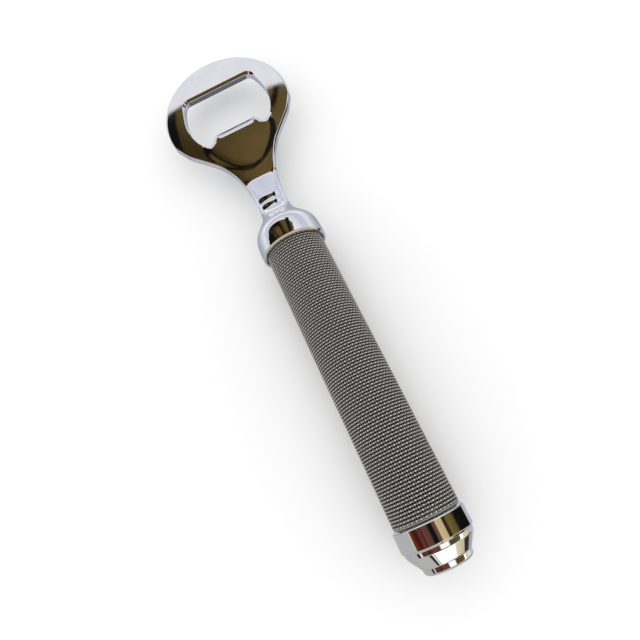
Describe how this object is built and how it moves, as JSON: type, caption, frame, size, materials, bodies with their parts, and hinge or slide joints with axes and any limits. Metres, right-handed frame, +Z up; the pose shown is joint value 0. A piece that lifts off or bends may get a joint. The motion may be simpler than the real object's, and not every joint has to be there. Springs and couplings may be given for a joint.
{
  "type": "bottle opener",
  "caption": "Crown-cap bottle opener: flat ring head with lip and tooth, turned collar, woven-wire grip and stepped screw-on end cap.",
  "frame": {"origin": "under the middle of the object, on the surface it lies on (centre of the bounding box's bottom)", "axes": "+X along the handle towards the screw-on end cap, +Y across the flat ring head, +Z up, square to the ring head's faces"},
  "size_m": [0.175, 0.044, 0.0204],
  "materials": {
    "polished_chrome": "mirror polish",
    "woven_wire": "satin woven stainless wire",
    "plain_steel": "drawn tube, dull",
    "zinc_plate": "bright zinc plate",
    "insert_brass": "turned brass",
    "black_rubber": "matt",
    "white_nylon": "moulded, matt"
  },
  "bodies": {
    "handle": {"opener_head": "polished_chrome", "collar": "polished_chrome", "collar_gasket": "black_rubber", "head_pin": "plain_steel", "upper_bush": "zinc_plate", "upper_spring_washer": "zinc_plate", "upper_lock_nut": "zinc_plate", "core_tube": "plain_steel", "tube_liner": "black_rubber", "upper_selvage_ring": "woven_wire", "mesh_sleeve": "woven_wire", "lower_selvage_ring": "woven_wire", "tie_rod": "plain_steel", "lower_bush": "zinc_plate", "lower_flat_washer": "zinc_plate", "lower_spring_washer": "zinc_plate", "lower_lock_nut": "zinc_plate"},
    "cap_carriage": {"thrust_washer": "white_nylon"},
    "cap": {"thread_insert": "insert_brass", "end_cap": "polished_chrome"}
  },
  "joints": [
    {"name": "cap_travel", "type": "slide", "parent": "handle", "child": "cap_carriage", "axis": [1, 0, 0], "range_m": [0, 0.00642]},
    {"name": "cap_turn", "type": "hinge", "parent": "cap_carriage", "child": "cap", "pos_m": [0.0764, 0, 0.0102], "axis": [1, 0, 0], "range_deg": [0, 2880]}
  ],
  "couplings": [
    {"joint": "cap_travel", "follows": "cap_turn", "m_per_rad": 0.00012732}
  ]
}
